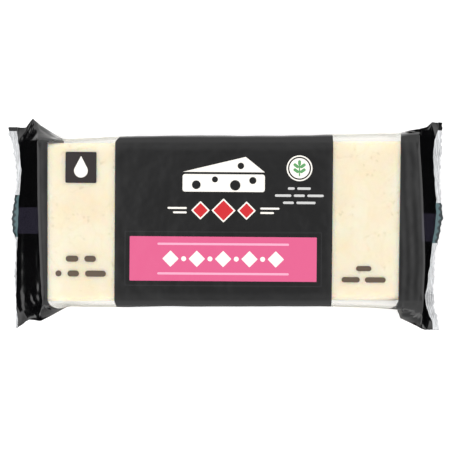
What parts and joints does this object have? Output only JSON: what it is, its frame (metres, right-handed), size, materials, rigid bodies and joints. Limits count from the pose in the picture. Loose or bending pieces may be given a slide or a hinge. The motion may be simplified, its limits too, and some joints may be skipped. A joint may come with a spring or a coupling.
{
  "type": "wrapped cheddar block",
  "caption": "Block of white cheddar in a sealed printed film wrapper with clear windows, folded ears and crimped ends.",
  "frame": {"origin": "middle of the block's back, on the flat back panel of the film, where the pack rests", "axes": "+X along the block to the right of the label, +Y to the top of the label, +Z out of the front panel"},
  "size_m": [0.1601, 0.0783, 0.0267],
  "materials": {
    "cheese": "satin",
    "printed_film": "gloss"
  },
  "bodies": {
    "root": {"cheese_block": "cheese", "film_wrapper": "printed_film"}
  },
  "joints": []
}
